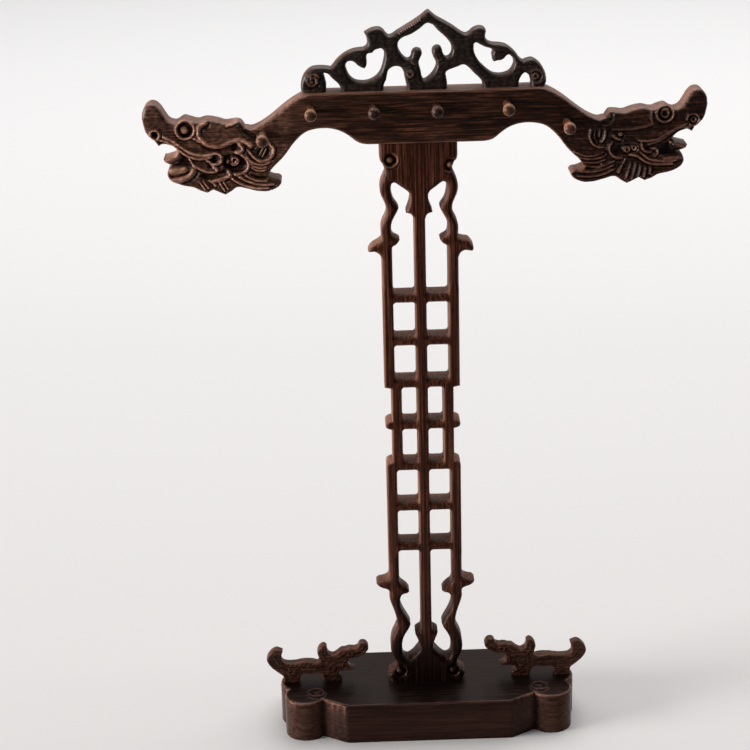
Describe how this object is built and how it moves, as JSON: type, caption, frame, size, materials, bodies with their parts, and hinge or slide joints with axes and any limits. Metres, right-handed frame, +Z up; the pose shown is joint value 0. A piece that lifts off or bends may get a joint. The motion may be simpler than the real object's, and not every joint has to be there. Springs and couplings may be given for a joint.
{
  "type": "standing brush rack",
  "caption": "Carved dark wood rack for hanging writing brushes: moulded base, pierced post, beast-headed cross bar with pegs, and a pierced crest.",
  "frame": {"origin": "middle of the base's underside, under the post", "axes": "+X along the bar to the right as seen from the front, +Y to the back, +Z up"},
  "size_m": [0.3, 0.066, 0.4159],
  "materials": {
    "base_wood": "satin polish, blackish brown",
    "grain_wood": "satin polish, dark brown with reddish grain",
    "dark_wood": "satin polish, dark brown",
    "peg_wood": "satin polish, reddish tan"
  },
  "bodies": {
    "base": {"base": "base_wood", "left_small_dragon": "dark_wood", "right_small_dragon": "dark_wood", "left_dragon_front_dowel": "peg_wood", "left_dragon_rear_dowel": "peg_wood", "right_dragon_front_dowel": "peg_wood", "right_dragon_rear_dowel": "peg_wood"},
    "post": {"post": "grain_wood"},
    "bar": {"bar": "grain_wood", "crest": "dark_wood", "crest_dowel_left": "peg_wood", "crest_dowel_right": "peg_wood", "front_peg_1": "peg_wood", "front_peg_2": "peg_wood", "front_peg_3": "peg_wood", "front_peg_4": "peg_wood", "front_peg_5": "peg_wood", "front_peg_6": "peg_wood", "rear_peg_1": "peg_wood", "rear_peg_2": "peg_wood", "rear_peg_3": "peg_wood", "rear_peg_4": "peg_wood", "rear_peg_5": "peg_wood", "rear_peg_6": "peg_wood"}
  },
  "joints": [
    {"name": "post_lift", "type": "slide", "parent": "base", "child": "post", "axis": [0, 0, 1], "range_m": [0, 0.018]},
    {"name": "bar_lift", "type": "slide", "parent": "post", "child": "bar", "axis": [0, 0, 1], "range_m": [0, 0.016]}
  ]
}
